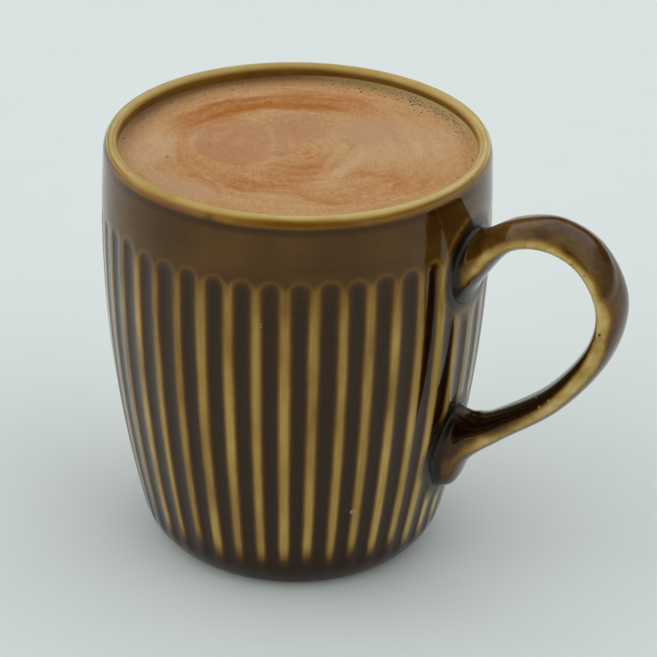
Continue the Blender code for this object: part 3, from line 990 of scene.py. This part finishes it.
def foam_height(points, sizes):
    """The foam's surface over its level: a meniscus at the wall and the low relief of the swirls."""
    radius = np.hypot(points[:, 0], points[:, 1]) * MM
    edge = inner_radius(DRINK_HIGH.z) - radius
    # The froth stands higher against the back of the wall, where the foam was pushed
    piled = 1 + window(np.degrees(np.arctan2(points[:, 1], points[:, 0])), 0, 120, 40)
    meniscus = sizes.meniscus * piled * np.exp(-np.maximum(edge, 0) / (0.6 * MM))
    flat = stack(points[:, 0], points[:, 1], 0.0)
    relief = 0.07 * layered(flat / 6, 81, 3) + 0.035 * layered(flat / 1.1, 85, 2)
    return meniscus + relief * MM * smooth(edge / (1.0 * MM))


def drink_mesh(sizes):
    """The drink, one closed form from the inner floor to its foam."""
    angles = np.linspace(0, TAU, DRINK_COLUMNS, endpoint=False)
    level = DRINK_HIGH.z
    reach = float(inner_radius(level)) + DRINK_WALL_BITE
    corner_height = FLOOR_TOP + INNER_CORNER_RADIUS
    inset = INNER_CORNER_RADIUS - (DRINK_LOW.z - FLOOR_TOP)
    corner = (float(inner_radius(corner_height)) - INNER_CORNER_RADIUS, corner_height)
    outline = arc_points(corner, inset, -90, 0, 6)
    for height in (22, 38, 55, 73, 87):
        outline.append((float(inner_radius(height * MM)) - DRINK_WALL_GAP, height * MM))
    outline.append((float(inner_radius(level - 2 * MM)) + DRINK_WALL_BITE, level - 2 * MM))
    rows = [stack(radius * np.cos(angles), radius * np.sin(angles), height) for radius, height in outline]
    radii = np.linspace(0.0, 1.0, FOAM_RINGS)[1:] * reach
    for radius in radii[::-1]:
        flat = stack(radius * np.cos(angles), radius * np.sin(angles))
        rows.append(stack(flat[:, 0], flat[:, 1], level + foam_height(flat / MM, sizes)))
    grid = np.array(rows)
    grid[..., 0] += BODY_AXIS_X
    return mesh_from_grid("drink", grid)


def add_crater(parts, middle, upward, size, profile, depth=1.0):
    """Add a small ringed hollow to lists of points, faces and hollow values, standing along its upward."""
    points, faces, hollow = parts
    first_side = Vector(upward).orthogonal().normalized()
    second_side = Vector(upward).cross(first_side)
    start = len(points)
    for share, rise, dark in profile:
        for turn in np.linspace(0, TAU, CRATER_SIDES, endpoint=False):
            around_it = first_side * math.cos(turn) + second_side * math.sin(turn)
            points.append(tuple(middle + around_it * (share * size) + upward * (rise * size)))
            hollow.append(dark * depth)
    points.append(tuple(middle + upward * (profile[-1][1] * size)))
    hollow.append(depth)
    for ring in range(len(profile) - 1):
        for step in range(CRATER_SIDES):
            first = start + ring * CRATER_SIDES + step
            second = start + ring * CRATER_SIDES + (step + 1) % CRATER_SIDES
            faces.append((first, second, second + CRATER_SIDES, first + CRATER_SIDES))
    last = start + (len(profile) - 1) * CRATER_SIDES
    for step in range(CRATER_SIDES):
        faces.append((last + step, last + (step + 1) % CRATER_SIDES, len(points) - 1))


def mesh_from_craters(name, parts):
    """One mesh from the lists that add_crater() fills."""
    points, faces, hollow = parts
    mesh = new_mesh(name, points, faces)
    set_values(mesh, "hollow", hollow)
    return mesh


def bubble_mesh(sizes):
    """Small open bubbles, thickest along the back of the rim, each a low dome with a hollow middle."""
    draw = np.random.default_rng(23)
    kinds = len(BUBBLE_DRIFTS) + 1
    rim = float(inner_radius(DRINK_HIGH.z)) / MM
    parts = ([], [], [])
    for number in range(sizes.bubbles):
        drifted = number % kinds < len(BUBBLE_DRIFTS)
        angle = draw.normal(*BUBBLE_DRIFTS[number % kinds]) if drifted else draw.uniform(-180, 180)
        away = 0.3 + abs(draw.normal(0, 1.8 if drifted else 0.7))
        size = min(0.08 + draw.exponential(0.052), 0.32) * MM
        x, y = (rim - away) * np.cos(np.radians(angle)), (rim - away) * np.sin(np.radians(angle))
        height = DRINK_HIGH.z + float(foam_height(np.array([[x, y]]), sizes)[0])
        middle = Vector((BODY_AXIS_X + x * MM, y * MM, height))
        add_crater(parts, middle, Vector((0, 0, 1)), size, BUBBLE_PROFILE)
    return mesh_from_craters("bubbles", parts)


def mark_mesh(mug):
    """Pinholes and specks in the glaze, each set on the mug's skin where a ray meets it."""
    form = bmesh.new()
    form.from_mesh(mug.data)
    skin = BVHTree.FromBMesh(form)
    form.free()
    parts = ([], [], [])
    for azimuth, height, size, depth in BODY_MARKS:
        turn = math.radians(azimuth)
        outward = Vector((math.cos(turn), math.sin(turn), 0.0))
        start = Vector((BODY_AXIS_X, 0.0, height * MM)) + outward * 2 * BODY_RADIUS
        middle, normal = skin.ray_cast(start, -outward)[:2]
        add_crater(parts, middle, normal, size * MM, PIT_PROFILE, depth)
    for reach, height, size, depth in HANDLE_MARKS:
        start = Vector((BODY_AXIS_X + reach * MM, -2 * BODY_RADIUS, height * MM))
        middle, normal = skin.ray_cast(start, Vector((0, 1, 0)))[:2]
        if middle is None:
            raise RuntimeError(f"no handle at the mark at {reach}, {height} mm")
        add_crater(parts, middle, normal, size * MM, PIT_PROFILE, depth)
    return mesh_from_craters("marks", parts)


# ---------------------------------------------------------------- settings


class MochaSizes(bpy.types.PropertyGroup):
    """Sizes that a user would change."""

    flute_top: FloatProperty(
        name="Flute top", description="Height of the flutes' round tops",
        default=81.6 * MM, precision=4, subtype="DISTANCE", unit="LENGTH",
    )
    flute_depth: FloatProperty(
        name="Flute depth", description="How deep the flutes are cut into the wall",
        default=0.25 * MM, precision=5, subtype="DISTANCE", unit="LENGTH",
    )
    root_fillet: FloatProperty(
        name="Root fillet", description="Radius of the clay smoothed in where the handle meets the body",
        default=2.0 * MM, precision=5, subtype="DISTANCE", unit="LENGTH",
    )
    meniscus: FloatProperty(
        name="Meniscus", description="How far the foam climbs the wall",
        default=0.45 * MM, precision=5, subtype="DISTANCE", unit="LENGTH",
    )
    bubbles: IntProperty(
        name="Bubbles", description="Number of open bubbles along the foam's edge", default=780, min=0
    )


class MochaColours(bpy.types.PropertyGroup):
    """Colours as sRGB hex values."""

    glaze_thinnest: StringProperty(name="Thinnest glaze", description="On sharp edges", default="D3B877")
    glaze_thin: StringProperty(name="Thin glaze", description="On ridges and the lip", default="B6954A")
    glaze_amber: StringProperty(name="Amber glaze", description="On gentle bends", default="866124")
    glaze_brown: StringProperty(name="Brown glaze", description="On the plain band", default="45290A")
    glaze_thick: StringProperty(name="Thick glaze", description="In the flutes", default="211006")
    glaze_thickest: StringProperty(name="Thickest glaze", description="At the foot", default="1C0D04")
    glaze_iron: StringProperty(name="Iron", description="Tint of the runs", default="FFE6A0")
    glaze_pool: StringProperty(name="Pooled glaze", description="At the handle's roots", default="090C11")
    bare_clay: StringProperty(name="Bare clay", description="Foot ring, wiped clean", default="A98E6C")
    foam_pale: StringProperty(name="Pale foam", description="Milkiest foam", default="D2AB85")
    foam_light: StringProperty(name="Light foam", description="Most of the foam", default="C99865")
    foam_warm: StringProperty(name="Warm foam", description="Foam with more coffee", default="BE804B")
    foam_dark: StringProperty(name="Stained foam", description="Coffee streaks", default="AE6612")
    foam_blush: StringProperty(name="Blush", description="Cocoa-stained eddies", default="C49672")
    foam_froth: StringProperty(name="Froth", description="Coarse froth at the wall", default="B89A66")
    # The colour of the painted shade that the wall casts on the foam's edge
    foam_wall_shade: StringProperty(name="Foam edge", description="Thin foam at the wall", default="7E5C38")
    bubble_dark: StringProperty(name="Bubble", description="Inside an open bubble", default="2A2013")
    floor_light: StringProperty(name="Floor", description="Studio paper", default="F0F6F5")
    floor_dark: StringProperty(name="Floor tooth", description="Tooth of the paper", default="EFF5F4")
    backdrop: StringProperty(name="Backdrop", description="Seen behind the floor", default="D4DDDC")


class MochaStage(bpy.types.PropertyGroup):
    """Camera and lights."""

    azimuth: FloatProperty(name="Azimuth", description="Camera's turn from -Y, degrees", default=26.67)
    elevation: FloatProperty(name="Elevation", description="Camera's rise, degrees", default=28.27)
    roll: FloatProperty(name="Roll", description="Camera's roll, degrees", default=1.252)
    distance: FloatProperty(
        name="Distance", description="From the aim to the camera",
        default=0.5917, subtype="DISTANCE", unit="LENGTH",
    )
    aim: FloatVectorProperty(
        name="Aim", description="Where the camera looks",
        default=(-0.01219, 0.00631, 0.0466), subtype="XYZ", unit="LENGTH",
    )
    lens: FloatProperty(name="Lens", description="Focal length, mm on a 36 mm sensor", default=142.47)
    sky: FloatProperty(name="Tent", description="Brightness of the light tent", default=0.79)
    opening: FloatProperty(
        name="Opening", description="Brightness of the opening where the camera stands", default=0.045
    )
    right_light: FloatProperty(name="Right light", description="Added on the tent's right", default=0.5)
    left_light: FloatProperty(name="Left light", description="Added on the tent's left", default=0.58)
    softbox: FloatProperty(name="Softbox", description="Added high on the tent's right", default=0.2)
    panel: FloatProperty(name="Panel", description="Light kept out by the dark panel", default=0.65)
    opening_width: FloatProperty(
        name="Opening width", description="Width of the opening, degrees", default=60.0
    )


# ---------------------------------------------------------------- operators


class MOCHA_OT_build_mug(bpy.types.Operator):
    """Build the glazed mug, body and handle in one skin"""

    bl_idname = "mocha.build_mug"
    bl_label = "Build mug"

    def execute(self, context):
        sizes = context.scene.mocha_sizes
        handle = handle_mesh(sizes)
        tree = strap_tree(handle)
        mesh = fuse(body_mesh(sizes, tree), handle)
        outward_faces(mesh)
        spread_glaze(mesh, tree, sizes)
        piece = link_piece("stoneware_mug", mesh, glazed_stoneware(context.scene.mocha_colours))
        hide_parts("mug")
        return {"FINISHED"}


class MOCHA_OT_pour_drink(bpy.types.Operator):
    """Fill the mug with the drink and its stirred foam"""

    bl_idname = "mocha.pour_drink"
    bl_label = "Pour drink"

    def execute(self, context):
        sizes = context.scene.mocha_sizes
        mesh = drink_mesh(sizes)
        outward_faces(mesh)
        flat = points_of(mesh)[:, :2] / MM - np.array([BODY_AXIS_X / MM, 0.0])
        for name, values in zip(("stain", "blush", "froth", "wall_shade"), foam_pattern(flat)):
            set_values(mesh, name, values)
        piece = link_piece("foamy_mocha", mesh, milk_foam(context.scene.mocha_colours))
        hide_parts("drink")
        return {"FINISHED"}


class MOCHA_OT_add_bubbles(bpy.types.Operator):
    """Scatter open bubbles along the foam's edge"""

    bl_idname = "mocha.add_bubbles"
    bl_label = "Add bubbles"

    def execute(self, context):
        mesh = bubble_mesh(context.scene.mocha_sizes)
        piece = link_piece("foam_bubbles", mesh, bubble_film(context.scene.mocha_colours))
        return {"FINISHED"}


class MOCHA_OT_mark_glaze(bpy.types.Operator):
    """Set the kiln's pinholes and specks on the finished mug"""

    bl_idname = "mocha.mark_glaze"
    bl_label = "Mark glaze"

    def execute(self, context):
        mug = context.scene.objects["stoneware_mug"]
        piece = link_piece("glaze_marks", mark_mesh(mug), glaze_pits(context.scene.mocha_colours))
        return {"FINISHED"}


class MOCHA_OT_set_stage(bpy.types.Operator):
    """Lay the pale floor, light it softly and place the camera"""

    bl_idname = "mocha.set_stage"
    bl_label = "Set stage"

    def execute(self, context):
        stage = context.scene.mocha_stage
        colours = context.scene.mocha_colours
        lay_floor(colours)
        light_tent(stage, colours)
        place_camera(stage)
        context.scene.view_settings.view_transform = "Standard"
        return {"FINISHED"}


def lay_floor(colours):
    """A wide disc of studio paper under the foot."""
    turns = np.linspace(0, TAU, FLOOR_SIDES, endpoint=False)
    rim = [(FLOOR_RADIUS * math.cos(turn), FLOOR_RADIUS * math.sin(turn), 0.0) for turn in turns]
    mesh = new_mesh("floor", rim, [tuple(range(FLOOR_SIDES))])
    mesh.materials.append(matte_paper(colours))
    floor = bpy.data.objects.new("floor", mesh)
    bpy.context.scene.collection.objects.link(floor)


def light_tent(stage, colours):
    """Soft light from all round, with a darker opening where the camera stands."""
    world = bpy.data.worlds.new("light_tent")
    bpy.context.scene.world = world
    world.use_nodes = True
    tree = world.node_tree
    direction = add_node(tree, "TexCoord").outputs["Generated"]
    azimuth = math.radians(stage.azimuth)
    front = (math.sin(azimuth), -math.cos(azimuth), 0.0)
    beside = (math.cos(azimuth), math.sin(azimuth), 0.0)
    facing = add_node(tree, "VectorMath", {"operation": "DOT_PRODUCT"}, {0: direction, 1: front})
    across = add_node(tree, "VectorMath", {"operation": "DOT_PRODUCT"}, {0: direction, 1: beside})
    height = add_node(tree, "SeparateXYZ", None, {0: direction}).outputs["Z"]
    turned = add_node(tree, "Math", {"operation": "ARCTAN2"}, {0: across, 1: facing})
    turned = add_node(tree, "Math", {"operation": "ABSOLUTE"}, {0: turned})
    opening_edge = math.radians(stage.opening_width)
    # Each part of the tent fades in from one direction to another, up to its strength
    parts = {"all": 1.0, "sky": stage.sky}
    for name, value, start, end, strength in (
        ("opening_side", turned, 0.7 * opening_edge, 0.3 * opening_edge, 1.0),
        ("opening_top", height, 0.99, 0.87, 1.0),
        ("right", across, 0.2, 0.95, stage.right_light),
        ("left", across, -0.2, -0.95, stage.left_light),
        ("softbox_low", height, 0.5, 0.75, stage.softbox),
        ("softbox_side", across, -0.1, 0.4, 1.0),
        ("panel_side", across, 0.55, 0.75, 1.0),
        ("panel_top", height, 0.6, 0.45, stage.panel),
        ("behind", facing, -0.2, -0.6, 1.0),
        ("low", height, 0.44, 0.3, 1.0),
        ("over_table", height, 0.05, 0.15, 1.0),
    ):
        inputs = {"Value": value, "From Min": start, "From Max": end, "To Max": strength}
        parts[name] = add_node(tree, "MapRange", {"interpolation_type": "SMOOTHSTEP"}, inputs)
    # Both sides are lit more than the middle, a softbox hangs high on the right over a dark panel, and low
    # behind the mug the tent is unlit, down to the far end of the bright table
    for name, operation, first, second in (
        ("softbox", "MULTIPLY", "softbox_low", "softbox_side"),
        ("sides", "ADD", "right", "left"),
        ("lit", "ADD", "sides", "sky"),
        ("lit", "ADD", "lit", "softbox"),
        ("panel", "MULTIPLY", "panel_side", "panel_top"),
        ("panel", "MULTIPLY", "panel", "over_table"),
        ("past_panel", "SUBTRACT", "all", "panel"),
        ("lit", "MULTIPLY", "lit", "past_panel"),
        ("opening", "MULTIPLY", "opening_side", "opening_top"),
        ("unlit", "MULTIPLY", "behind", "low"),
        ("unlit", "MULTIPLY", "unlit", "over_table"),
        ("dark", "MAXIMUM", "opening", "unlit"),
    ):
        parts[name] = add_node(tree, "Math", {"operation": operation}, {0: parts[first], 1: parts[second]})
    cloth = (1.0, 1.04, 1.03)
    dim = (stage.opening, stage.opening, stage.opening, 1.0)
    lit = add_node(tree, "VectorMath", {"operation": "SCALE"}, {0: cloth, "Scale": parts["lit"]})
    tent = add_node(tree, "Mix", MIX_COLOURS, {0: parts["dark"], 6: lit, 7: dim})
    seen = add_node(tree, "LightPath").outputs["Is Camera Ray"]
    shown = add_node(tree, "Mix", MIX_COLOURS, {0: seen, 6: tent, 7: colours.backdrop})
    feed(tree.nodes["Background"], {"Color": shown})


def place_camera(stage):
    """Look at the mug from a little above, with the handle on the right."""
    data = bpy.data.cameras.new("camera")
    data.sensor_width = 36.0
    data.lens = stage.lens
    data.clip_start = 0.01
    camera = bpy.data.objects.new("camera", data)
    azimuth, elevation = math.radians(stage.azimuth), math.radians(stage.elevation)
    flat = math.cos(elevation)
    back = Vector((math.sin(azimuth) * flat, -math.cos(azimuth) * flat, math.sin(elevation)))
    turn = back.to_track_quat("Z", "Y").to_matrix().to_4x4()
    roll = Matrix.Rotation(math.radians(stage.roll), 4, "Z")
    camera.matrix_world = Matrix.Translation(Vector(stage.aim) + back * stage.distance) @ turn @ roll
    bpy.context.scene.collection.objects.link(camera)
    bpy.context.scene.camera = camera


class MOCHA_PT_panel(bpy.types.Panel):
    """Lists the steps and the settings"""

    bl_idname = "MOCHA_PT_panel"
    bl_label = "White chocolate mocha"
    bl_space_type = "VIEW_3D"
    bl_region_type = "UI"
    bl_category = "Mocha"

    def draw(self, context):
        layout = self.layout
        for operator in OPERATORS:
            layout.operator(operator.bl_idname)
        for group in ("mocha_sizes", "mocha_colours", "mocha_stage"):
            settings = getattr(context.scene, group)
            box = layout.box()
            for name in settings.__annotations__:
                box.prop(settings, name)


OPERATORS = (
    MOCHA_OT_build_mug,
    MOCHA_OT_mark_glaze,
    MOCHA_OT_pour_drink,
    MOCHA_OT_add_bubbles,
    MOCHA_OT_set_stage,
)
GROUPS = {"mocha_sizes": MochaSizes, "mocha_colours": MochaColours, "mocha_stage": MochaStage}


def register():
    """Make the settings, operators and panel known to Blender."""
    for group in GROUPS.values():
        bpy.utils.register_class(group)
    for name, group in GROUPS.items():
        setattr(bpy.types.Scene, name, PointerProperty(type=group))
    for item in (*OPERATORS, MOCHA_PT_panel):
        bpy.utils.register_class(item)


def unregister():
    """Take them away again."""
    for item in (MOCHA_PT_panel, *reversed(OPERATORS)):
        bpy.utils.unregister_class(item)
    for name, group in GROUPS.items():
        delattr(bpy.types.Scene, name)
        bpy.utils.unregister_class(group)


def main():
    """Register and build every piece."""
    register()
    bpy.ops.mocha.build_mug()
    bpy.ops.mocha.mark_glaze()
    bpy.ops.mocha.pour_drink()
    bpy.ops.mocha.add_bubbles()
    bpy.ops.mocha.set_stage()


if __name__ == "__main__":
    main()
